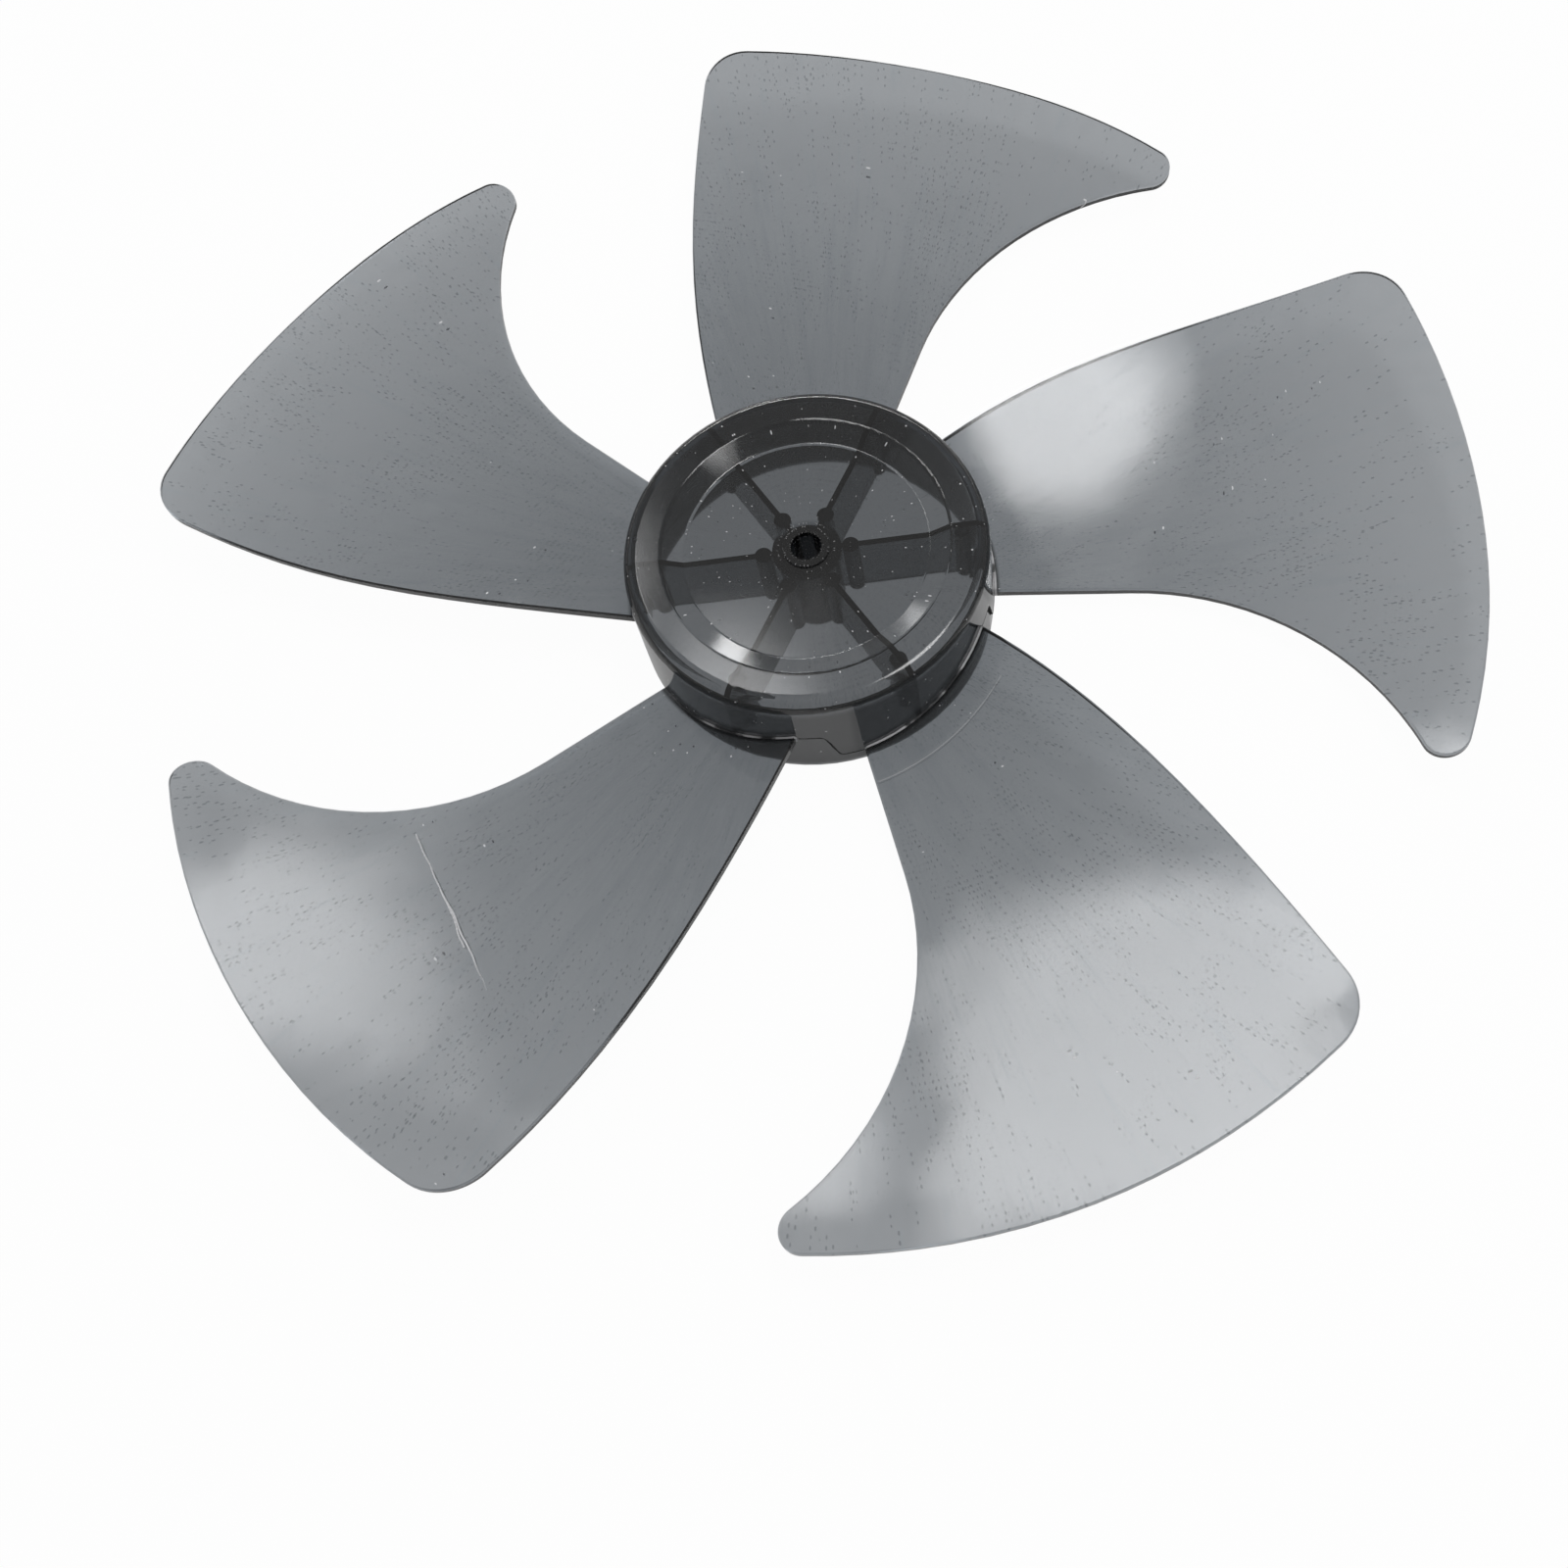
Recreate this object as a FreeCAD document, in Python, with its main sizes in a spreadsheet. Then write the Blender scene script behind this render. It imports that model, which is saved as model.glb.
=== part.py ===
import FreeCAD, Part
import math
import os
import re

import Sketcher

# Pedestal fan blade: five swept blades and a closed hub cup, moulded as one piece.
# Millimetres. +Z runs along the axis towards the closed front face. The sketches measure
# heights from the plane of the back rim. The finished part is then moved down, so that the
# origin lies on the axis where the drive pin seats in the boss and the full bore begins.
# Seen from the front the fan turns clockwise, and blade 0 lies about the +X axis.

Vector = FreeCAD.Vector

# Driving dimensions, in millimetres and degrees
SIZES = {
    # hub cup
    "hubradius": 48.2,       # outside of the skirt at the front
    "hubdepth": 35.0,        # back rim to front face
    "skirtdraft": 0.8,       # degrees that the skirt widens towards the back
    "skirtwall": 2.2,
    "frontwall": 2.4,
    "frontround": 4.0,       # outer rounding of the front edge
    "insidebevel": 1.2,      # bevel in the corner behind it
    "recessradius": 32.6,    # floor of the round recess in the front face
    "recessdepth": 3.0,
    "recessslope": 5.7,      # how far the sloped step of the recess runs outwards
    "recessround": 1.2,      # rounding at the top and foot of that step
    # boss and bore
    "bossradius": 8.0,
    "bossinset": 3.0,        # end of the boss to the plane of the back rim
    "bossbevel": 1.2,        # bevel where the boss leaves the front wall
    "boreradius": 4.05,      # for a shaft of 8 mm
    "slotwidth": 3.4,        # for a drive pin of 3 mm
    "slotdepth": 5.0,
    "collarradius": 6.2,     # low ring round the mouth of the bore
    "collarheight": 0.6,
    # ribs behind the front wall
    "ribcount": 6,
    "ribwall": 1.6,
    "ribdrop": 20.0,         # how far a rib stands below the floor of the recess
    "padradius": 2.3,        # round pads where the ejector pins pushed
    "padinner": 11.5,        # distance of the inner pads from the axis
    "padouter": 41.0,        # distance of the outer pads from the axis
    # outline of a blade, seen along the axis
    "bladecount": 5,
    "tipradius": 180.0,      # radius of the tip arc
    "tipshift": 9.6,         # how far the tip arc's centre lies towards the trailing edge
    "trailangle": 45.0,      # +X to the root of the trailing edge
    "trailslope": 27.5,      # direction of the trailing edge at its root
    "trailcurve": 345.0,     # radius of the trailing edge
    "trailcorner": 14.0,     # rounding of the trailing corner
    "leadangle": 7.8,        # +X down to the root of the leading edge
    "leadslope": 7.5,        # downward direction of the leading edge at its root
    "leadstraight": 38.4,    # straight start of the leading edge
    "leadcurve": 78.0,       # radius of its hooked part
    "leadcorner": 6.0,       # rounding of the hooked tip
    # thickness of a blade, which thins evenly from the first station to the last
    "rootwall": 2.6,
    "tipwall": 1.6,
    "edgebevel": 0.5,        # bevel round the front side of a blade
    # form of a blade at five stations: height and pitch on its own X axis, camber radius
    "heightroot": 6.1, "pitchroot": 13.6, "camberroot": 194.0,
    "heightinner": 8.1, "pitchinner": 9.6, "camberinner": 248.0,
    "heightmiddle": 9.5, "pitchmiddle": 6.9, "cambermiddle": 480.0,
    "heightouter": 14.3, "pitchouter": 4.6, "camberouter": 600.0,
    "heighttip": 20.6, "pitchtip": 3.2, "cambertip": 260.0,
    # parting line: the skirt is set in below it. It runs along the blades' roots and drops in
    # an S from one blade's trailing root to the next one's leading root. The three heights
    # are measured from the root station's height.
    "partinglow": -0.3,
    "partingmiddle": 4.6,
    "partinghigh": 11.2,
    "stepdepth": 0.6,
    "steprun": 3.4,          # width of the sloped part of the S
    "stepround": 2.0,        # rounding of its two corners
}
STATIONS = ("root", "inner", "middle", "outer", "tip")

# Where the stations lie along a blade, and how wide the sheet is that the blade is cut from
MARGIN = 10
FIRST_STATION = f"hubradius * cos(trailangle) - {MARGIN / 2}"
LAST_STATION = f"tipradius + {MARGIN}"
HALF_SHARE = 0.56
HALF_SHEET = f"tipradius * {HALF_SHARE}"
ROOT_RADIUS = "hubradius - skirtwall / 2"
FRONT_INSIDE = "hubdepth - frontwall"
RECESS_FLOOR = "hubdepth - recessdepth"
RECESS_INSIDE = "hubdepth - recessdepth - frontwall"
RECESS_TOP = "recessradius + recessslope"
SKIRT_INSIDE = "hubradius - skirtwall"
RIB_FOOT = "hubdepth - recessdepth - frontwall - ribdrop"
# Directions about the axis: half of one blade's share of the circle, half of the gap between
# two roots, and the middle of the gap before blade 0
HALF_SHARE_ANGLE = "180 / bladecount"
HALF_GAP_ANGLE = "(360 / bladecount - trailangle - leadangle) / 2"
GAP_ANGLE = "(trailangle - leadangle - 360 / bladecount) / 2"
OVERLAP = 0.5                # how far ribs and pads run into the walls that carry them

doc = FreeCAD.newDocument("fan_blade")
sheet = doc.addObject("Spreadsheet::Sheet", "dims")
for row, (name, value) in enumerate(SIZES.items(), start=1):
    sheet.set(f"A{row}", name)
    sheet.set(f"B{row}", str(value))
    sheet.setAlias(f"B{row}", name)
doc.recompute()


def size(name):
    return float(sheet.get(name))


def bind(item, target, formula):
    """Drives a property or constraint by a formula of the sheet's dimensions."""
    def reference(word):
        return f"dims.{word[0]}" if word[0] in SIZES else word[0]

    item.setExpression(target, re.sub(r"[a-z]+", reference, formula))


def new_body(name):
    body = doc.addObject("PartDesign::Body", name)
    body.Label = name
    body.AllowCompound = True
    return body


def origin_part(body, role):
    return next(o for o in body.Origin.OriginFeatures if o.Role == role)


def new_sketch(body, name, role, offset=None):
    """A sketch on one of the body's own planes, moved off it by a formula where one is given."""
    sketch = body.newObject("Sketcher::SketchObject", name)
    sketch.AttachmentSupport = [(origin_part(body, role), "")]
    sketch.MapMode = "FlatFace"
    if offset:
        bind(sketch, "AttachmentOffset.Base.z", offset)
    return sketch


X_AXIS, Y_AXIS = range(-1, -3, -1)      # the sketch's own axes, as constraints number them
START, END, CENTRE = range(1, 4)


def measured(sketch, kind, places):
    """What a constraint reads before the sheet drives it, so that the solver starts close."""
    item = sketch.Geometry[places[0]] if places[0] >= 0 else None
    if kind == "Radius":
        return item.Radius
    if kind == "Distance":
        return item.length()
    if kind == "Angle":
        line = sketch.Geometry[places[2]]
        way = line.EndPoint - line.StartPoint
        return math.atan2(way.y, way.x)
    gap = sketch.getPoint(*places[2:]) - sketch.getPoint(*places[:2])
    return gap.x if kind == "DistanceX" else gap.y


def constrain(sketch, kind, *places, formula=None, unit="mm"):
    """Adds one constraint. With a formula, its value follows the sheet."""
    if formula is None:
        sketch.addConstraint(Sketcher.Constraint(kind, *places))
        return
    value = measured(sketch, kind, places)
    index = sketch.addConstraint(Sketcher.Constraint(kind, *places, value))
    bind(sketch, f"Constraints[{index}]", f"({formula}) * 1 {unit}")


def polygon(sketch, corners):
    """A closed straight-sided profile. Each corner is two formulas: distance out and height."""
    count = len(corners)
    rough = [polar(40, 360 * i / count, Vector(60, 60)) for i in range(count)]
    lines = [sketch.addGeometry(Part.LineSegment(rough[i - 1], rough[i])) for i in range(count)]
    for i, (across, up) in enumerate(corners):
        constrain(sketch, "Coincident", lines[i], END, lines[(i + 1) % count], START)
        constrain(sketch, "DistanceX", X_AXIS, START, lines[i], END, formula=across)
        constrain(sketch, "DistanceY", X_AXIS, START, lines[i], END, formula=up)


def circle(sketch, formula_across, formula_radius):
    """A circle whose centre lies on the sketch's X axis."""
    ring = sketch.addGeometry(Part.Circle(Vector(20, 0), Vector(0, 0, 1), 2))
    constrain(sketch, "PointOnObject", ring, CENTRE, X_AXIS)
    constrain(sketch, "DistanceX", X_AXIS, START, ring, CENTRE, formula=formula_across)
    constrain(sketch, "Radius", ring, formula=formula_radius)


def arc(centre, start, end):
    """An arc about a centre that runs anticlockwise from one point to another."""
    first, last = (math.atan2(p.y - centre.y, p.x - centre.x) for p in (start, end))
    if last < first:
        last += 2 * math.pi
    whole = Part.Circle(centre, Vector(0, 0, 1), (start - centre).Length)
    return Part.ArcOfCircle(whole, first, last)


def polar(radius, degrees, centre=Vector()):
    angle = math.radians(degrees)
    return centre + Vector(radius * math.cos(angle), radius * math.sin(angle))


def circles_meet(centre_a, radius_a, centre_b, radius_b, hand):
    """Where two circles cross, to the left (1) or right (-1) of the way from a to b."""
    across = centre_b - centre_a
    gap = across.Length
    along = (gap**2 + radius_a**2 - radius_b**2) / (2 * gap)
    aside = math.sqrt(radius_a**2 - along**2) * hand
    way = across / gap
    return centre_a + way * along + Vector(-way.y, way.x) * aside


def along_blade(index, first, last):
    """A formula for what changes evenly from the first station to the last."""
    share = index / (len(STATIONS) - 1)
    return f"({first}) + {share} * (({last}) - ({first}))"


def blade_section(body, index, station):
    """The sheet's section at one station: two arcs about one centre, a wall apart."""
    place = along_blade(index, FIRST_STATION, LAST_STATION)
    wall = along_blade(index, "rootwall", "tipwall")
    sketch = new_sketch(body, f"Section_{station}", "YZ_Plane", place)
    height, pitch, camber = (size(word + station) for word in ("height", "pitch", "camber"))
    half = HALF_SHARE * size("tipradius")
    foot = Vector(0, height)
    centre = polar(camber, 90 + pitch, foot)
    stem = sketch.addGeometry(Part.LineSegment(foot, centre), True)
    constrain(sketch, "PointOnObject", stem, START, Y_AXIS)
    constrain(sketch, "DistanceY", X_AXIS, START, stem, START, formula=f"height{station}")
    constrain(sketch, "Distance", stem, formula=f"camber{station}")
    constrain(sketch, "Angle", X_AXIS, START, stem, START, formula=f"90 + pitch{station}", unit="deg")
    curves, ends = [], []
    for sign in (1, -1):
        radius = camber + sign * size("tipwall") / 2
        low, high = (Vector(y, centre.y - math.sqrt(radius**2 - (y - centre.x) ** 2)) for y in (-half, half))
        curve = sketch.addGeometry(arc(centre, low, high))
        constrain(sketch, "Coincident", curve, CENTRE, stem, END)
        constrain(sketch, "Radius", curve, formula=f"camber{station} + {sign} * ({wall}) / 2")
        curves.append(curve)
        ends.append((low, high))
    for number, end in enumerate((START, END)):
        side = sketch.addGeometry(Part.LineSegment(ends[0][number], ends[1][number]))
        constrain(sketch, "Coincident", curves[0], end, side, START)
        constrain(sketch, "Coincident", curves[1], end, side, END)
        constrain(sketch, "Vertical", side)
    constrain(sketch, "DistanceX", curves[0], START, X_AXIS, START, formula=HALF_SHEET)
    constrain(sketch, "DistanceX", X_AXIS, START, curves[0], END, formula=HALF_SHEET)
    return sketch


def blade_outline(sketch):
    """A blade seen along the axis: root arc, hooked leading edge, tip arc and trailing edge,
    with both outer corners rounded. The points below only start the solver near its answer."""
    root = size("hubradius") - size("skirtwall") / 2
    tip, hook, trail = size("tipradius"), size("leadcurve"), size("trailcurve")
    lead_round, trail_round = size("leadcorner"), size("trailcorner")
    lead_root, trail_root = polar(root, -size("leadangle")), polar(root, size("trailangle"))
    hook_start = polar(size("leadstraight"), -size("leadslope"), lead_root)
    hook_centre = polar(hook, -90 - size("leadslope"), hook_start)
    trail_centre = polar(trail, size("trailslope") - 90, trail_root)
    tip_centre = Vector(0, size("tipshift"))
    lead_centre = circles_meet(tip_centre, tip - lead_round, hook_centre, hook + lead_round, 1)
    trail_corner = circles_meet(tip_centre, tip - trail_round, trail_centre, trail - trail_round, 1)

    def beyond(centre, point, reach):
        return point + (point - centre).normalize() * reach

    hook_end = beyond(hook_centre, lead_centre, -lead_round)
    tip_low = beyond(tip_centre, lead_centre, lead_round)
    tip_high = beyond(tip_centre, trail_corner, trail_round)
    trail_end = beyond(trail_centre, trail_corner, trail_round)
    root_arc = sketch.addGeometry(arc(Vector(), lead_root, trail_root))
    lead_line = sketch.addGeometry(Part.LineSegment(lead_root, hook_start))
    hook_arc = sketch.addGeometry(arc(hook_centre, hook_end, hook_start))
    lead_arc = sketch.addGeometry(arc(lead_centre, hook_end, tip_low))
    tip_arc = sketch.addGeometry(arc(tip_centre, tip_low, tip_high))
    corner_arc = sketch.addGeometry(arc(trail_corner, tip_high, trail_end))
    trail_arc = sketch.addGeometry(arc(trail_centre, trail_end, trail_root))

    constrain(sketch, "Coincident", root_arc, CENTRE, X_AXIS, START)
    constrain(sketch, "Radius", root_arc, formula=ROOT_RADIUS)
    constrain(sketch, "DistanceY", root_arc, START, X_AXIS, START, formula=f"({ROOT_RADIUS}) * sin(leadangle)")
    constrain(sketch, "DistanceY", X_AXIS, START, root_arc, END, formula=f"({ROOT_RADIUS}) * sin(trailangle)")
    constrain(sketch, "Coincident", root_arc, START, lead_line, START)
    constrain(sketch, "Distance", lead_line, formula="leadstraight")
    constrain(sketch, "DistanceY", lead_line, END, lead_line, START, formula="leadstraight * sin(leadslope)")
    constrain(sketch, "Tangent", lead_line, END, hook_arc, END)
    constrain(sketch, "Radius", hook_arc, formula="leadcurve")
    constrain(sketch, "Tangent", hook_arc, START, lead_arc, START)
    constrain(sketch, "Radius", lead_arc, formula="leadcorner")
    constrain(sketch, "Tangent", lead_arc, END, tip_arc, START)
    constrain(sketch, "PointOnObject", tip_arc, CENTRE, Y_AXIS)
    constrain(sketch, "DistanceY", X_AXIS, START, tip_arc, CENTRE, formula="tipshift")
    constrain(sketch, "Radius", tip_arc, formula="tipradius")
    constrain(sketch, "Tangent", tip_arc, END, corner_arc, START)
    constrain(sketch, "Radius", corner_arc, formula="trailcorner")
    constrain(sketch, "Tangent", corner_arc, END, trail_arc, START)
    constrain(sketch, "Coincident", trail_arc, END, root_arc, END)
    constrain(sketch, "Radius", trail_arc, formula="trailcurve")
    constrain(sketch, "DistanceX", trail_arc, END, trail_arc, CENTRE, formula="trailcurve * sin(trailslope)")


def frame_round_sheet(sketch):
    """A rectangle well outside the sheet, so that all but the blade's outline is cut away."""
    far = size("tipradius") + 3 * MARGIN
    half = HALF_SHARE * size("tipradius") + 2 * MARGIN
    corners = [Vector(0, -half), Vector(far, -half), Vector(far, half), Vector(0, half)]
    sides = [sketch.addGeometry(Part.LineSegment(corners[i], corners[(i + 1) % 4])) for i in range(4)]
    for i in range(4):
        constrain(sketch, "Coincident", sides[i], END, sides[(i + 1) % 4], START)
    constrain(sketch, "Horizontal", sides[0])
    constrain(sketch, "Vertical", sides[1])
    constrain(sketch, "Horizontal", sides[2])
    constrain(sketch, "PointOnObject", sides[3], END, Y_AXIS)
    constrain(sketch, "Symmetric", sides[3], START, sides[3], END, X_AXIS)
    constrain(sketch, "DistanceX", X_AXIS, START, sides[0], END, formula=f"{LAST_STATION} + {2 * MARGIN}")
    constrain(sketch, "Distance", sides[1], formula=f"2 * ({HALF_SHEET}) + {4 * MARGIN}")


def edge_names(shape, wanted):
    return [f"Edge{i}" for i, edge in enumerate(shape.Edges, start=1) if wanted(edge)]


def make_blades():
    body = new_body("Blades")
    sections = [blade_section(body, i, station) for i, station in enumerate(STATIONS)]
    doc.recompute()
    loft = body.newObject("PartDesign::AdditiveLoft", "Sheet")
    loft.Profile = sections[0]
    loft.Sections = sections[1:]
    doc.recompute()

    outline = new_sketch(body, "Outline", "XY_Plane")
    blade_outline(outline)
    frame_round_sheet(outline)
    doc.recompute()
    trim = body.newObject("PartDesign::Pocket", "Trim")
    trim.Profile = outline
    trim.SideType = "Symmetric"
    trim.Type = "ThroughAll"
    doc.recompute()

    root = size("hubradius") - size("skirtwall") / 2
    widest = sorted(trim.Shape.Faces, key=lambda face: face.Area)[-2:]
    front_side = max(widest, key=lambda face: face.CenterOfMass.z)

    def is_rim(edge):
        """An edge of the blade's front side, but not the root, which ends inside the skirt."""
        ends = [edge.valueAt(p) for p in (edge.FirstParameter, edge.LastParameter)]
        at_root = all(abs(math.hypot(p.x, p.y) - root) < 0.01 for p in ends)
        return any(edge.isSame(own) for own in front_side.Edges) and not at_root

    bevel = body.newObject("PartDesign::Chamfer", "EdgeBevel")
    bevel.Base = (trim, edge_names(trim.Shape, is_rim))
    bind(bevel, "Size", "edgebevel")
    doc.recompute()

    pattern = body.newObject("PartDesign::PolarPattern", "BladePattern")
    pattern.TransformMode = "Whole shape"
    pattern.Axis = (origin_part(body, "Z_Axis"), [""])
    pattern.Angle = 360
    bind(pattern, "Occurrences", "bladecount")
    body.Tip = pattern
    doc.recompute()
    return body


def ring_edges(shape, places):
    """The full circles of a revolved shape at the given pairs of radius and height."""
    def wanted(edge):
        if edge.Curve.TypeId != "Part::GeomCircle":
            return False
        found = edge.Curve.Radius, edge.Curve.Center.z
        return any(math.dist(found, place) < 0.05 for place in places)

    return edge_names(shape, wanted)


def dress_rings(body, kind, name, amount, places):
    """Rounds (Fillet) or bevels (Chamfer) circular edges of the body so far."""
    base = body.Tip
    dressing = body.newObject(f"PartDesign::{kind}", name)
    dressing.Base = (base, ring_edges(base.Shape, places))
    bind(dressing, "Radius" if kind == "Fillet" else "Size", amount)
    doc.recompute()


def make_hub():
    body = new_body("Hub")
    profile = new_sketch(body, "HubProfile", "XZ_Plane")
    polygon(profile, [
        ("boreradius", "bossinset"),
        ("bossradius", "bossinset"),
        ("bossradius", RECESS_INSIDE),
        ("recessradius", RECESS_INSIDE),
        (RECESS_TOP, FRONT_INSIDE),
        (SKIRT_INSIDE, FRONT_INSIDE),
        (f"{SKIRT_INSIDE} + hubdepth * tan(skirtdraft)", "0"),
        ("hubradius + hubdepth * tan(skirtdraft)", "0"),
        ("hubradius", "hubdepth"),
        (RECESS_TOP, "hubdepth"),
        ("recessradius", RECESS_FLOOR),
        ("collarradius", RECESS_FLOOR),
        ("collarradius", f"{RECESS_FLOOR} + collarheight"),
        ("boreradius", f"{RECESS_FLOOR} + collarheight"),
    ])
    doc.recompute()
    cup = body.newObject("PartDesign::Revolution", "Cup")
    cup.Profile = profile
    cup.ReferenceAxis = (profile, ["V_Axis"])
    cup.Angle = 360
    doc.recompute()

    front, floor = size("hubdepth"), size("hubdepth") - size("recessdepth")
    under_floor, under_front = floor - size("frontwall"), front - size("frontwall")
    step_top = size("recessradius") + size("recessslope")
    inside = size("hubradius") - size("skirtwall")
    recess_rings = [(step_top, front), (size("recessradius"), floor)]
    dress_rings(body, "Fillet", "FrontRound", "frontround", [(size("hubradius"), front)])
    dress_rings(body, "Fillet", "RecessRound", "recessround", recess_rings)
    dress_rings(body, "Chamfer", "InsideBevel", "insidebevel", [(inside, under_front)])
    dress_rings(body, "Chamfer", "BossBevel", "bossbevel", [(size("bossradius"), under_floor)])

    rib_profile = new_sketch(body, "RibProfile", "XZ_Plane")
    polygon(rib_profile, [
        (f"bossradius - {OVERLAP}", RIB_FOOT),
        (f"{SKIRT_INSIDE} + {OVERLAP}", RIB_FOOT),
        (f"{SKIRT_INSIDE} + {OVERLAP}", f"{FRONT_INSIDE} + {OVERLAP}"),
        (RECESS_TOP, f"{FRONT_INSIDE} + {OVERLAP}"),
        ("recessradius", f"{RECESS_INSIDE} + {OVERLAP}"),
        (f"bossradius - {OVERLAP}", f"{RECESS_INSIDE} + {OVERLAP}"),
    ])
    pad_profile = new_sketch(body, "PadProfile", "XY_Plane", RIB_FOOT)
    circle(pad_profile, "padinner", "padradius")
    circle(pad_profile, "padouter", "padradius")
    doc.recompute()
    rib = body.newObject("PartDesign::Pad", "Rib")
    rib.Profile = rib_profile
    rib.SideType = "Symmetric"
    bind(rib, "Length", "ribwall")
    doc.recompute()
    pads = body.newObject("PartDesign::Pad", "EjectorPads")
    pads.Profile = pad_profile
    bind(pads, "Length", f"ribdrop + {OVERLAP}")
    doc.recompute()
    pattern = body.newObject("PartDesign::PolarPattern", "RibPattern")
    pattern.Originals = [rib, pads]
    pattern.Axis = (origin_part(body, "Z_Axis"), [""])
    pattern.Angle = 360
    bind(pattern, "Occurrences", "ribcount")
    body.Tip = pattern
    doc.recompute()

    slot_outline = new_sketch(body, "SlotOutline", "XY_Plane", "bossinset + slotdepth")
    half_length, half_width = size("bossradius") + 2, size("slotwidth") / 2
    corners = [Vector(x * half_length, y * half_width) for x, y in ((-1, -1), (1, -1), (1, 1), (-1, 1))]
    sides = [slot_outline.addGeometry(Part.LineSegment(corners[i], corners[(i + 1) % 4])) for i in range(4)]
    for i in range(4):
        constrain(slot_outline, "Coincident", sides[i], END, sides[(i + 1) % 4], START)
    constrain(slot_outline, "Horizontal", sides[0])
    constrain(slot_outline, "Vertical", sides[1])
    constrain(slot_outline, "Horizontal", sides[2])
    constrain(slot_outline, "Symmetric", sides[0], START, sides[1], END, X_AXIS, START)
    constrain(slot_outline, "Distance", sides[0], formula="2 * bossradius + 4")
    constrain(slot_outline, "Distance", sides[1], formula="slotwidth")
    doc.recompute()
    slot = body.newObject("PartDesign::Pocket", "PinSlot")
    slot.Profile = slot_outline
    bind(slot, "Length", "slotdepth + 1")
    doc.recompute()
    return body


def make_parting_step():
    """What is cut off the skirt below the parting line: one gap with the roots beside it,
    made about +X as a block cut down to a thin band, then repeated for every gap."""
    body = new_body("PartingStep")
    reach = f"(hubradius + 1) * sin({HALF_SHARE_ANGLE})"
    gap = f"hubradius * sin({HALF_GAP_ANGLE})"
    low, middle, high = (f"heightroot + parting{place}" for place in ("low", "middle", "high"))
    profile = new_sketch(body, "StepProfile", "YZ_Plane", "hubradius / 2")
    polygon(profile, [
        (f"-{reach}", "-1"),
        (reach, "-1"),
        (reach, middle),
        (gap, low),
        ("steprun / 2", low),
        ("-steprun / 2", high),
        (f"-{gap}", high),
        (f"-{reach}", middle),
    ])
    doc.recompute()
    block = body.newObject("PartDesign::Pad", "StepBlock")
    block.Profile = profile
    bind(block, "Length", "hubradius")
    doc.recompute()

    half_run = size("steprun") / 2
    corners = [(half_run, size("heightroot") + size("partinglow")),
               (-half_run, size("heightroot") + size("partinghigh"))]

    def is_corner(edge):
        ends = [edge.valueAt(p) for p in (edge.FirstParameter, edge.LastParameter)]
        return any(all(math.dist((p.y, p.z), corner) < 0.01 for p in ends) for corner in corners)

    rounding = body.newObject("PartDesign::Fillet", "StepRound")
    rounding.Base = (block, edge_names(block.Shape, is_corner))
    bind(rounding, "Radius", "stepround")
    doc.recompute()

    core = new_sketch(body, "StepCore", "XZ_Plane")
    polygon(core, [
        ("0", "-2"),
        ("hubradius - stepdepth + (hubdepth + 2) * tan(skirtdraft)", "-2"),
        ("hubradius - stepdepth", "hubdepth"),
        ("0", "hubdepth"),
    ])
    doc.recompute()
    band = body.newObject("PartDesign::Groove", "StepBand")
    band.Profile = core
    band.ReferenceAxis = (core, ["V_Axis"])
    band.Angle = 360
    doc.recompute()
    pattern = body.newObject("PartDesign::PolarPattern", "StepPattern")
    pattern.TransformMode = "Whole shape"
    pattern.Axis = (origin_part(body, "Z_Axis"), [""])
    pattern.Angle = 360
    bind(pattern, "Occurrences", "bladecount")
    body.Tip = pattern
    bind(body, "Placement.Rotation.Angle", f"({GAP_ANGLE}) * 1 deg")
    doc.recompute()
    return body


def main():
    blades = make_blades()
    stepped = doc.addObject("Part::Cut", "SteppedHub")
    stepped.Base = make_hub()
    stepped.Tool = make_parting_step()
    fan = doc.addObject("Part::Fuse", "FanBlade")
    fan.Label = "fan_blade"
    fan.Base = stepped
    fan.Tool = blades
    fan.Refine = True
    bind(fan, "Placement.Base.z", "-(bossinset + slotdepth)")
    doc.recompute()

    failed = [o.Name for o in doc.Objects if {"Invalid", "Error"} & set(o.State)]
    if failed:
        raise RuntimeError(f"failed: {', '.join(failed)}")
    shape = fan.Shape
    if shape.isNull() or not shape.isValid() or len(shape.Solids) != 1:
        raise RuntimeError(f"{fan.Label} is not one valid solid")
    os.makedirs("parts", exist_ok=True)
    shape.exportStep(f"parts/{fan.Label}.step")
    print(f"{fan.Label}: {shape.Volume / 1000:.1f} cm3")


main()
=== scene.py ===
# %% [markdown]
# # A see-through fan blade on a white table
# The fan comes from the CAD frame as one moulded piece, already in metres and in its place.
# This lesson gives it smoky plastic, a white table, soft studio light and a camera.

# %% Load the fan
import math

import bpy
from mathutils import Matrix, Vector


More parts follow.
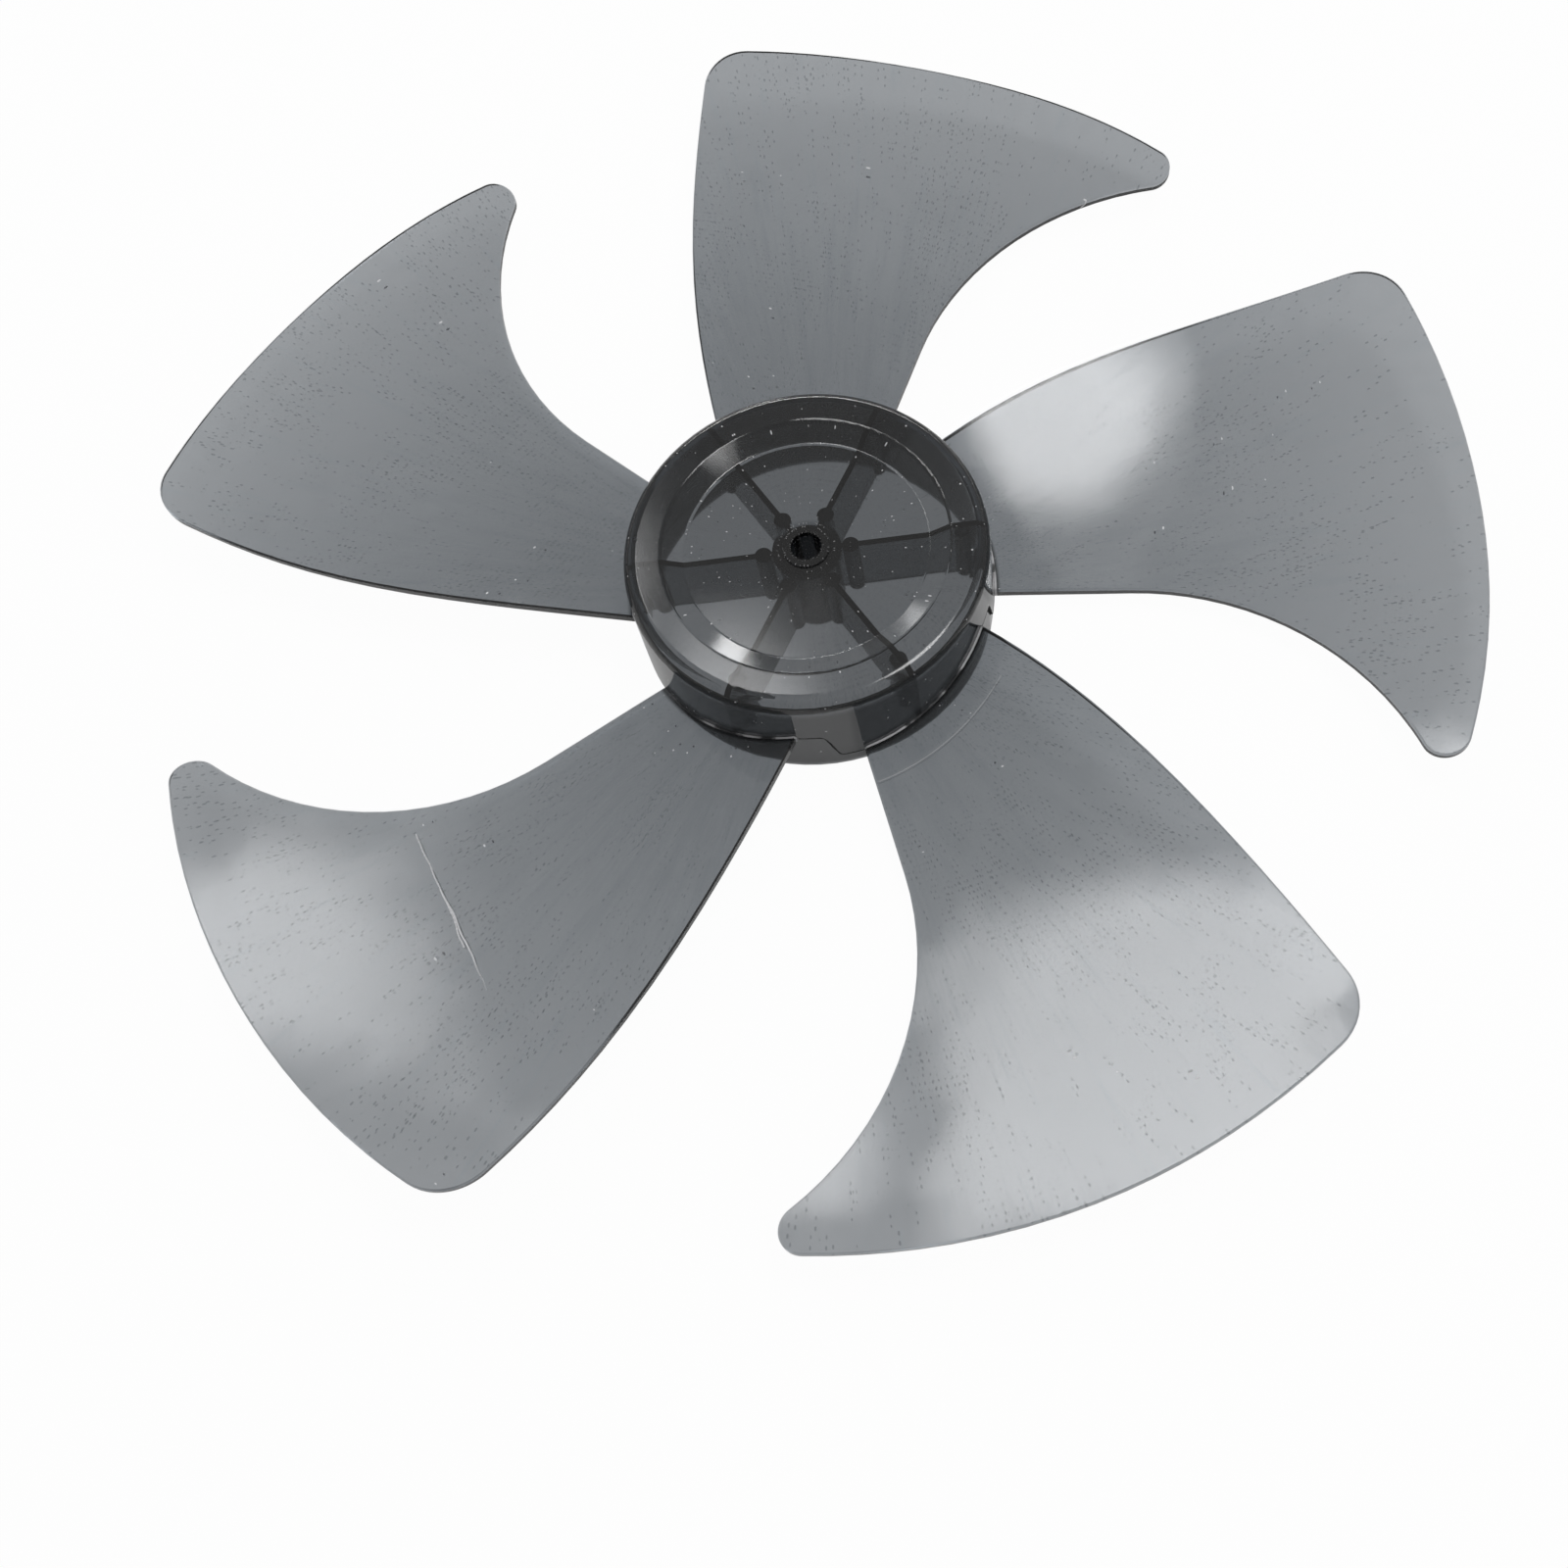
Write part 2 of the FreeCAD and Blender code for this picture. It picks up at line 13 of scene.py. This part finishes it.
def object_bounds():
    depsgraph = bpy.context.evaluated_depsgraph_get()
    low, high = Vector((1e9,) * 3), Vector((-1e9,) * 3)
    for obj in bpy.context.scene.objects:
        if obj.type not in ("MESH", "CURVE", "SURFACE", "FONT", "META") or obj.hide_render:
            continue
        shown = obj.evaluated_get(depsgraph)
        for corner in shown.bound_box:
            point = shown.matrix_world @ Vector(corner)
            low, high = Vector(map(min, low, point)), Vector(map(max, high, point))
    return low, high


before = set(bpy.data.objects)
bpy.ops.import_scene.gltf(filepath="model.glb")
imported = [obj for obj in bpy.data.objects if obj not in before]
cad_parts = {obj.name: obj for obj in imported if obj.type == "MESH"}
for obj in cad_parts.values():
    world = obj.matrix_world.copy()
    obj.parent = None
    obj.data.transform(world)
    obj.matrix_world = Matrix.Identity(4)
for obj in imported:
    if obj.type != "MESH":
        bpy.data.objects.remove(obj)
cad_low, cad_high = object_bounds()
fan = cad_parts["fan_blade"]
scene = bpy.context.scene
print("CAD box:", [round(v, 4) for v in (*cad_low, *cad_high)])

# %% [markdown]
# A material is a graph of nodes. It could be wired by hand in the Shader Editor. Two small
# helpers do it in code: one adds a node and fills its inputs with numbers, colours or other
# nodes' outputs, the other makes a new material with no nodes in it.

# %% Node helpers


def add_node(tree, kind, inputs=None, **settings):
    """Adds a node. An input may be a number, a colour or another node's output socket."""
    node = tree.nodes.new(kind)
    for name, value in settings.items():
        setattr(node, name, value)
    for key, value in (inputs or {}).items():
        if isinstance(value, bpy.types.NodeSocket):
            tree.links.new(value, node.inputs[key])
        else:
            node.inputs[key].default_value = value
    return node


def new_material(name):
    """A new material and its empty node tree."""
    material = bpy.data.materials.new(name)
    material.use_nodes = True
    material.node_tree.nodes.clear()
    return material, material.node_tree


plastic, tree = new_material("smoky_plastic")
print("new material:", plastic.name)

# %% [markdown]
# Most of the pattern is arithmetic on places. These helpers add the nodes for it, so that a
# formula reads almost as on paper.

# %% Arithmetic helpers


def calc(operation, first, second=0.0):
    """One Math node."""
    return add_node(tree, "ShaderNodeMath", {0: first, 1: second}, operation=operation).outputs[0]


def times(*factors):
    """The product of two or more values."""
    product = factors[0]
    for factor in factors[1:]:
        product = calc("MULTIPLY", product, factor)
    return product


def between(value, low, high):
    """1 where a value lies between two limits, 0 elsewhere."""
    return times(calc("GREATER_THAN", value, low), calc("LESS_THAN", value, high))


def ramp(value, limits, ends=(0.0, 1.0)):
    """A smooth change from one end to the other while a value goes from limit to limit."""
    return add_node(tree, "ShaderNodeMapRange", {
        "Value": value, "From Min": limits[0], "From Max": limits[1],
        "To Min": ends[0], "To Max": ends[1],
    }, interpolation_type="SMOOTHSTEP").outputs[0]


def blend(share, first, second):
    """Mixes two colours."""
    sockets = {0: share, 6: first, 7: second}
    return add_node(tree, "ShaderNodeMix", sockets, data_type="RGBA").outputs[2]


def noise(vector, scale, detail=2.0):
    """Soft random patches."""
    sockets = {"Vector": vector, "Scale": scale, "Detail": detail}
    return add_node(tree, "ShaderNodeTexNoise", sockets).outputs["Fac"]


place = add_node(tree, "ShaderNodeTexCoord").outputs["Object"]
across, upward, height = add_node(tree, "ShaderNodeSeparateXYZ", {"Vector": place}).outputs
radius = calc("SQRT", calc("ADD", times(across, across), times(upward, upward)))
outwards = calc("SUBTRACT", radius, height)
angle = calc("ARCTAN2", upward, across)
print("places ready: radius, angle and the way outwards")

# %% [markdown]
# The real plastic holds faint streaks and specks that the melt left as it ran outwards from
# the hub. They could be painted on an image, but an image has to be laid round the shape and
# blurs close up. Noise needs neither. It is laid out in polar coordinates, one axis along
# the flow and one round the hub, so that the streaks point outwards. Taking the height off
# the radius carries the pattern on down the upright skirt.

# %% Streaks
FINE_FLOW = (70.0, 130.0)       # steps to a metre outwards, steps to a radian round the hub
BROAD_FLOW = (25.0, 22.0)
STREAK_DETAIL = 3.0
STREAK_LIMITS = (0.4, 0.75)
FINE_STRENGTH, BROAD_STRENGTH = 0.5, 0.4


def flow(per_metre, per_radian):
    """Polar coordinates with so many steps to a metre outwards and to a radian round."""
    sockets = {"X": times(outwards, per_metre), "Y": times(angle, per_radian)}
    return add_node(tree, "ShaderNodeCombineXYZ", sockets).outputs[0]


fine_streaks = noise(flow(*FINE_FLOW), 1.0, STREAK_DETAIL)
broad_streaks = noise(flow(*BROAD_FLOW), 1.0, STREAK_DETAIL)
streak_share = calc("ADD", times(ramp(fine_streaks, STREAK_LIMITS), FINE_STRENGTH),
                    times(ramp(broad_streaks, STREAK_LIMITS), BROAD_STRENGTH))
print("streaks ready")

# %% [markdown]
# Specks are dirt in the melt, and bright ones are tiny chips. Round the bore's mouth the
# bright specks crowd as painted highlights, for the glints of light there. Scattered objects
# would be heavy for dots this small. A Voronoi pattern gives each cell one centre and one
# random colour: the centre becomes a dot, and the colour decides which cells have one.

# %% Specks, and painted glints round the bore
CLOUD_SCALE = 28.0
CLOUD_LIMITS = (0.4, 0.62)
DARK_FLOW, DARK_SIZE = (640.0, 165.0), 0.29
DARK_SHARES = (0.05, 0.24)      # of the cells, where specks are rare and where they crowd
BRIGHT_FLOW, BRIGHT_SIZE = (480.0, 26.0), 0.13
SPECK_RADII = (0.045, 0.065)
BRIGHT_SHARES = (0.05, 0.008)   # on the hub and on the blades
# Round the bore's mouth the bright specks crowd as painted highlights, not as chips.
MOUTH_GLINT_RADII = (0.006, 0.009)
MOUTH_GLINT_SHARES = (0.35, 0.0)      # at the bore's mouth and away from it
SMALLEST = 0.4                  # of the largest speck


def specks(vector, size, share):
    """Small dots: a share of the cells of a flat Voronoi pattern carries one each."""
    sockets = {"Vector": vector, "Scale": 1.0}
    cells = add_node(tree, "ShaderNodeTexVoronoi", sockets, voronoi_dimensions="2D")
    chance = add_node(tree, "ShaderNodeSeparateColor", {0: cells.outputs["Color"]}).outputs[0]
    reach = times(ramp(calc("DIVIDE", chance, share), (0.0, 1.0), (1.0, SMALLEST)), size)
    return times(calc("LESS_THAN", chance, share), calc("LESS_THAN", cells.outputs["Distance"], reach))


crowded = ramp(noise(place, CLOUD_SCALE), CLOUD_LIMITS, DARK_SHARES)
dark_specks = specks(flow(*DARK_FLOW), DARK_SIZE, crowded)
bright_speck_and_glint_share = calc("ADD", ramp(radius, SPECK_RADII, BRIGHT_SHARES),
                    ramp(radius, MOUTH_GLINT_RADII, MOUTH_GLINT_SHARES))
bright_specks_and_glints = specks(flow(*BRIGHT_FLOW), BRIGHT_SIZE, bright_speck_and_glint_share)
print("specks ready")

# %% [markdown]
# Wear and moulding marks: one long scratch on the lower left blade, which splits in two a
# little before half way, and a fine arc on the lower right blade, just clear of the hub.
# Grooves in the mesh would need many faces for lines this thin. Here a mark is where the
# distance from a line is small, and a little noise makes the scratch waver.

# %% Scratch and arc
SCRATCH_START = (-0.1087, -0.0577)
SCRATCH_WAY = (0.403, -0.915)
SCRATCH_LENGTH = 0.046
SCRATCH_HALF_WIDTH = 0.0002
SCRATCH_STRENGTH = 0.7
WAVER_SCALE, WAVER = 90.0, 0.002
BRIGHT_START = 0.4              # these are shares of the length
FORK_START, FORK_END = 0.42, 0.8
FADE_START, SCRATCH_END = 0.75, 1.1
FADE_STRENGTHS = (0.9, 0.15)
FORK_SLOPE = 0.045
RING_RADIUS = 0.0594
RING_HALF_WIDTH = 0.00012
RING_ANGLES = (-1.38, -0.68)    # radians
RING_STRENGTH = 0.4


def stroke(run, aside, start, end, strength):
    """A fine line where the distance aside is small, between two shares of the scratch."""
    on_stretch = between(run, start * SCRATCH_LENGTH, end * SCRATCH_LENGTH)
    near = calc("LESS_THAN", calc("ABSOLUTE", aside), SCRATCH_HALF_WIDTH)
    return times(on_stretch, near, strength)


east = calc("SUBTRACT", across, SCRATCH_START[0])
north = calc("SUBTRACT", upward, SCRATCH_START[1])
run = calc("ADD", times(east, SCRATCH_WAY[0]), times(north, SCRATCH_WAY[1]))
straight_aside = calc("SUBTRACT", times(east, SCRATCH_WAY[1]), times(north, SCRATCH_WAY[0]))
waver = times(calc("SUBTRACT", noise(place, WAVER_SCALE), 0.5), WAVER)
aside = calc("ADD", straight_aside, waver)
fork = times(calc("SUBTRACT", run, FORK_START * SCRATCH_LENGTH), FORK_SLOPE)
fading = ramp(run, (FADE_START * SCRATCH_LENGTH, SCRATCH_END * SCRATCH_LENGTH), FADE_STRENGTHS)
first_part = stroke(run, aside, 0.0, BRIGHT_START, SCRATCH_STRENGTH)
second_part = stroke(run, aside, BRIGHT_START, SCRATCH_END, fading)
branch = stroke(run, calc("SUBTRACT", aside, fork), FORK_START, FORK_END, SCRATCH_STRENGTH)
scratch = calc("MAXIMUM", calc("MAXIMUM", first_part, second_part), branch)
off_ring = calc("ABSOLUTE", calc("SUBTRACT", radius, RING_RADIUS))
ring = times(calc("LESS_THAN", off_ring, RING_HALF_WIDTH), between(angle, *RING_ANGLES), RING_STRENGTH)
print("scratch and arc ready")

# %% [markdown]
# The two halves of the mould part along a line that drops in an S between two blades. The
# solid has the step there, but thin clear plastic hides it, while on the real fan its small
# ledge looks dark. A dull dark line of painted shade goes over it: a smooth drop between the
# two heights, made as thick across its steep middle as along its level ends.

# %% Parting line, with painted shade
BLADE_SHARE = 2.0 * math.pi / 5
GAP_MIDDLE = math.radians(-17.4)
GAP_HALF_WIDTH = 0.0081
LINE_HIGH, LINE_LOW = 0.0093, -0.0022
LINE_HALF_RUN = 0.0025
LINE_HALF_WIDTH = 0.0005
LINE_RADII = (0.047, 0.0492)

turn = calc("SUBTRACT", angle, GAP_MIDDLE)
nearest_gap = times(calc("ROUND", calc("DIVIDE", turn, BLADE_SHARE)), BLADE_SHARE)
along = times(radius, calc("SINE", calc("SUBTRACT", turn, nearest_gap)))
line_height = ramp(along, (-LINE_HALF_RUN, LINE_HALF_RUN), (LINE_HIGH, LINE_LOW))
progress = calc("DIVIDE", calc("SUBTRACT", LINE_HIGH, line_height), LINE_HIGH - LINE_LOW)
steepest = 3.0 * (LINE_HIGH - LINE_LOW) / LINE_HALF_RUN
slope = times(progress, calc("SUBTRACT", 1.0, progress), steepest)
thickness = times(calc("SQRT", calc("ADD", 1.0, times(slope, slope))), LINE_HALF_WIDTH)
near_line = calc("LESS_THAN", calc("ABSOLUTE", calc("SUBTRACT", height, line_height)), thickness)
in_gap = calc("LESS_THAN", calc("ABSOLUTE", along), GAP_HALF_WIDTH)
# Where the parting line's painted shade lies: darker, dull and not see-through.
on_line = times(near_line, in_gap, between(radius, *LINE_RADII))
print("parting line ready")

# %% [markdown]
# Where a blade leaves the skirt, the real moulding has a small round that catches the light.
# A fillet all round five curved roots would cost many faces. Instead its light is painted in
# as a broken bright line, a painted highlight, found by the distance from the skirt, which
# widens a little towards the back.

# %% Painted root highlights
SKIRT_DRAFT = math.radians(0.8)
ROOT_LINE = (0.0486, 0.0492)    # radii at the origin's height, just outside the skirt
ROOT_NOISE = 110.0
ROOT_LIMITS = (0.4, 0.54)
ROOT_STRENGTHS = (0.25, 1.1)

from_skirt = calc("ADD", radius, times(height, math.tan(SKIRT_DRAFT)))
broken = ramp(noise(place, ROOT_NOISE), ROOT_LIMITS, ROOT_STRENGTHS)
# The painted highlight along the blade roots, broken by noise.
root_glints = times(between(from_skirt, *ROOT_LINE), broken)
# The pale haze gathers the real scratch, arc and specks, and the painted highlights.
haze_and_glints = calc("MAXIMUM", calc("MAXIMUM", scratch, ring), bright_specks_and_glints)
haze_and_glints = calc("MAXIMUM", haze_and_glints, root_glints)
print("root lines ready")

# %% [markdown]
# The hub of the real fan looks darker than its blades, because little light gets into the cup,
# and the blades look paler towards their tips. That could be left to the light alone, but then
# it would be far too weak with a table that is lit all over. So the surface colour gets painted
# shade by radius and height, on top of what the volume does: on the hub, darker still on its
# skirt, and in the bore, with painted light towards the blade tips.

# %% Painted shade by place
HUB_SHADE, BLADE_ROOT_SHADE, BLADE_TIP_LIGHT = 0.62, 0.94, 1.06
SKIRT_SHADE = 0.1
BORE_SHADE = 0.05
LINE_SHADE = 0.95                # how much of the colour the parting line takes away
HUB_RADII = (0.0475, 0.0505)
BLADE_RADII = (0.055, 0.165)
SKIRT_INNER_RADII = (0.0435, 0.0448)
SKIRT_OUTER_RADII = (0.049, 0.0505)
SKIRT_TOP_HEIGHTS = (0.0205, 0.0235)
BORE_RADII = (0.0041, 0.0045)

# Painted shade on the hub and the blade roots, painted light towards the blade tips.
hub_and_blade_shading = times(ramp(radius, HUB_RADII, (HUB_SHADE / BLADE_ROOT_SHADE, 1.0)),
                      ramp(radius, BLADE_RADII, (BLADE_ROOT_SHADE, BLADE_TIP_LIGHT)))
# Painted shade, darker still, on the skirt.
skirt_zone = times(ramp(radius, SKIRT_INNER_RADII), ramp(radius, SKIRT_OUTER_RADII, (1.0, 0.0)),
                   ramp(height, SKIRT_TOP_HEIGHTS, (1.0, 0.0)))
skirt_shade_change = times(skirt_zone, calc("SUBTRACT", SKIRT_SHADE, hub_and_blade_shading))
# All painted shade and light together, with the parting line's and the bore's painted shade.
painted_shading = times(calc("ADD", hub_and_blade_shading, skirt_shade_change),
             calc("SUBTRACT", 1.0, times(on_line, LINE_SHADE)),
             ramp(radius, BORE_RADII, (BORE_SHADE, 1.0)))
print("tint ready")

# %% [markdown]
# The plastic is clear and smoky. A Glass shader would do for the clear part, but here the
# scratches have to cloud it, so a Principled shader is used, whose transmission falls where
# the haze is. The haze also carries the painted highlights at the blade roots and round the
# bore's mouth, and the colour is scaled by the painted shade by place. The smoke is in the
# volume: light loses more of itself the longer its way through the plastic is, so ribs and
# pads turn darker by themselves, as on the real fan.

# %% Smoky plastic
CLEAR = (1.0, 1.0, 1.0, 1.0)
STREAK = (0.87, 0.89, 0.9, 1.0)
DARK_SPECK = (0.2, 0.22, 0.23, 1.0)
DARK_STRENGTH = 0.62
HAZE_AND_GLINT = (0.9, 0.9, 0.92, 1.0)
SMOKE = (0.24, 0.28, 0.32, 1.0)
SMOKE_DENSITY = 690.0           # per metre
STREAK_RANGE, ROUGHNESS = (0.3, 0.8), (0.05, 0.09)
HAZE_ROUGHNESS, LINE_ROUGHNESS = 0.3, 0.85
CLEARNESS, CLOUDING = 0.97, 0.8
RIPPLE_SCALE, RIPPLE_STRENGTH, RIPPLE_HEIGHT = 70.0, 0.04, 0.0005

surface = blend(times(dark_specks, DARK_STRENGTH), blend(streak_share, CLEAR, STREAK), DARK_SPECK)
# The painted shade and painted light by place scale the surface colour here.
sockets = {0: surface, "Scale": painted_shading}
surface = add_node(tree, "ShaderNodeVectorMath", sockets, operation="SCALE").outputs[0]
marks = calc("ADD", times(haze_and_glints, HAZE_ROUGHNESS), times(on_line, LINE_ROUGHNESS))
clear_share = calc("SUBTRACT", CLEARNESS, times(haze_and_glints, CLOUDING))
bump = add_node(tree, "ShaderNodeBump", {
    "Height": noise(place, RIPPLE_SCALE), "Strength": RIPPLE_STRENGTH, "Distance": RIPPLE_HEIGHT,
})
# Where the haze is, the colour turns pale: real marks, and painted highlights at roots and bore.
shader = add_node(tree, "ShaderNodeBsdfPrincipled", {
    "Base Color": blend(haze_and_glints, surface, HAZE_AND_GLINT),
    "Roughness": calc("ADD", ramp(fine_streaks, STREAK_RANGE, ROUGHNESS), marks),
    "IOR": 1.57,
    "Transmission Weight": times(calc("SUBTRACT", 1.0, on_line), clear_share),
    "Normal": bump.outputs[0],
})
smoke = add_node(tree, "ShaderNodeVolumeAbsorption", {"Color": SMOKE, "Density": SMOKE_DENSITY})
add_node(tree, "ShaderNodeOutputMaterial", {"Surface": shader.outputs[0], "Volume": smoke.outputs[0]})
for slot in fan.material_slots:
    slot.material = plastic
print("material slots dressed:", len(fan.material_slots))

# %% [markdown]
# The fan lies on a bright white sheet in the photo. Lamps strong enough to bleach a table
# would wash out the plastic too, so the table gives its white only to rays that ask what
# lies there: full white for the camera, less for rays that pass through the plastic or are
# mirrored in it. For all other rays it is plain paint that takes the lamps' light.

# %% Table
TABLE_SIZE = 12.0
LIT_DIRECT = 0.97
LIT_THROUGH = 0.6
LIT_MIRRORED = 0.35
PAINT = (0.9, 0.9, 0.9, 1.0)
WHITE = (1.0, 1.0, 1.0, 1.0)


def white_share(tree, mirrored):
    """How white a surface is for a ray, by the way that the ray came."""
    path = add_node(tree, "ShaderNodeLightPath")
    levels = {"Is Camera Ray": LIT_DIRECT, "Is Transmission Ray": LIT_THROUGH, "Is Glossy Ray": mirrored}
    share = 0.0
    for name, level in levels.items():
        part = add_node(tree, "ShaderNodeMath", {0: path.outputs[name], 1: level}, operation="MULTIPLY")
        sockets = {0: share, 1: part.outputs[0]}
        share = add_node(tree, "ShaderNodeMath", sockets, operation="MAXIMUM").outputs[0]
    return share


white, tree = new_material("white_table")
paint = add_node(tree, "ShaderNodeBsdfDiffuse", {"Color": PAINT})
glow = add_node(tree, "ShaderNodeEmission", {"Color": WHITE, "Strength": 1.0})
sockets = {0: white_share(tree, LIT_MIRRORED), 1: paint.outputs[0], 2: glow.outputs[0]}
mix = add_node(tree, "ShaderNodeMixShader", sockets)
add_node(tree, "ShaderNodeOutputMaterial", {"Surface": mix.outputs[0]})

bpy.ops.object.select_all(action="DESELECT")
bpy.ops.mesh.primitive_plane_add(size=TABLE_SIZE, location=(0, 0, cad_low[2]))
table = bpy.context.object
table.name = "table"
table.data.materials.append(white)
print("table at z =", round(cad_low[2], 4))

# %% [markdown]
# The room round the real fan is plain and pale. A picture of a room could stand in for it,
# but the world is kept an even, weak light from all sides, which shows no shapes in the
# plastic. It looks white only to the camera and through the plastic.

# %% World
WORLD_LEVEL = 0.3

world = bpy.data.worlds.new("studio")
world.use_nodes = True
tree = world.node_tree
sockets = {0: white_share(tree, WORLD_LEVEL), 1: WORLD_LEVEL}
level = add_node(tree, "ShaderNodeMath", sockets, operation="MAXIMUM")
tree.nodes["Background"].inputs["Color"].default_value = WHITE
tree.links.new(level.outputs[0], tree.nodes["Background"].inputs["Strength"])
scene.world = world
print("world level:", WORLD_LEVEL)

# %% [markdown]
# Three soft lamps hang where the blades mirror them as in the photo: one for the right
# blade, one for the lower left and one for the lower right. The gap between them is mirrored
# in the hub's flat face, which stays dark. A low strip behind the fan leans towards it and
# draws thin bright lines along the rounded rim. Each lamp fades towards its border, because
# a mirrored lamp with a hard border looks like a cut-out.

# %% Lamps
LAMP_HEIGHT = 0.9
FADE_LIMITS = (0.25, 0.55)      # distance from the lamp's middle, in lamp widths
FADE_ENDS = (1.6, 0.1)


def add_softbox(name, across, upward, width, length, watts, height=LAMP_HEIGHT, lean=0.0):
    """A lamp that points straight down or leans to the front, brightest in its middle."""
    bpy.ops.object.light_add(type="AREA", location=(across, upward, height), rotation=(-lean, 0, 0))
    lamp = bpy.context.object
    lamp.name = name
    lamp.data.shape = "RECTANGLE"
    lamp.data.size, lamp.data.size_y = width, length
    lamp.data.energy = watts
    lamp.data.use_nodes = True
    tree = lamp.data.node_tree
    on_lamp = add_node(tree, "ShaderNodeNewGeometry").outputs["Parametric"]
    sockets = {0: on_lamp, 1: (0.5, 0.5, 0.0)}
    middle = add_node(tree, "ShaderNodeVectorMath", sockets, operation="DISTANCE")
    fade = add_node(tree, "ShaderNodeMapRange", {
        "Value": middle.outputs["Value"], "From Min": FADE_LIMITS[0], "From Max": FADE_LIMITS[1],
        "To Min": FADE_ENDS[0], "To Max": FADE_ENDS[1],
    }, interpolation_type="SMOOTHSTEP")
    tree.links.new(fade.outputs["Result"], tree.nodes["Emission"].inputs["Strength"])


add_softbox("softbox_right", 0.29, 0.0, width=0.36, length=0.42, watts=2.35)
add_softbox("softbox_left", -0.293, 0.52, width=0.236, length=0.26, watts=0.5)
add_softbox("softbox_back", -0.135, 0.28, width=0.18, length=0.42, watts=0.72)
add_softbox("low_strip", 0.0, 1.6, width=1.8, length=0.22, watts=7.0, height=0.46, lean=1.29)

# %% [markdown]
# The camera stands in front of the fan and looks down on it at about 63 degrees. It could be
# moved by hand until the picture fits, but its place, turn and lens were worked out from the
# hub's circles and the blades' tips. The picture is cut off centre, which the shift repeats.

# %% Camera
CAMERA_PLACE = Vector((0.0285, -0.2461, 0.4329))
CAMERA_RIGHT = Vector((0.99227, -0.11070, -0.05601))
CAMERA_UP = Vector((0.12406, 0.88540, 0.44801))
IMAGE_SIDE = 1600
FOCAL_PIXELS = 1857.03
CENTRE_X, CENTRE_Y = 950, 680
SENSOR_WIDTH = 36.0

camera_data = bpy.data.cameras.new("camera")
camera = bpy.data.objects.new("camera", camera_data)
scene.collection.objects.link(camera)
right = CAMERA_RIGHT.normalized()
back = right.cross(CAMERA_UP).normalized()
up = back.cross(right)
turned = Matrix((right, up, back)).transposed().to_4x4()
camera.matrix_world = Matrix.Translation(CAMERA_PLACE) @ turned
camera_data.sensor_width = SENSOR_WIDTH
camera_data.lens = SENSOR_WIDTH * FOCAL_PIXELS / IMAGE_SIDE
camera_data.shift_x = (IMAGE_SIDE / 2 - CENTRE_X) / IMAGE_SIDE
camera_data.shift_y = (CENTRE_Y - IMAGE_SIDE / 2) / IMAGE_SIDE
camera_data.clip_start, camera_data.clip_end = 0.01, 50.0
scene.camera = camera
print("lens:", round(camera_data.lens, 2), "mm")

# %% Finish
scene.view_settings.view_transform = "Standard"
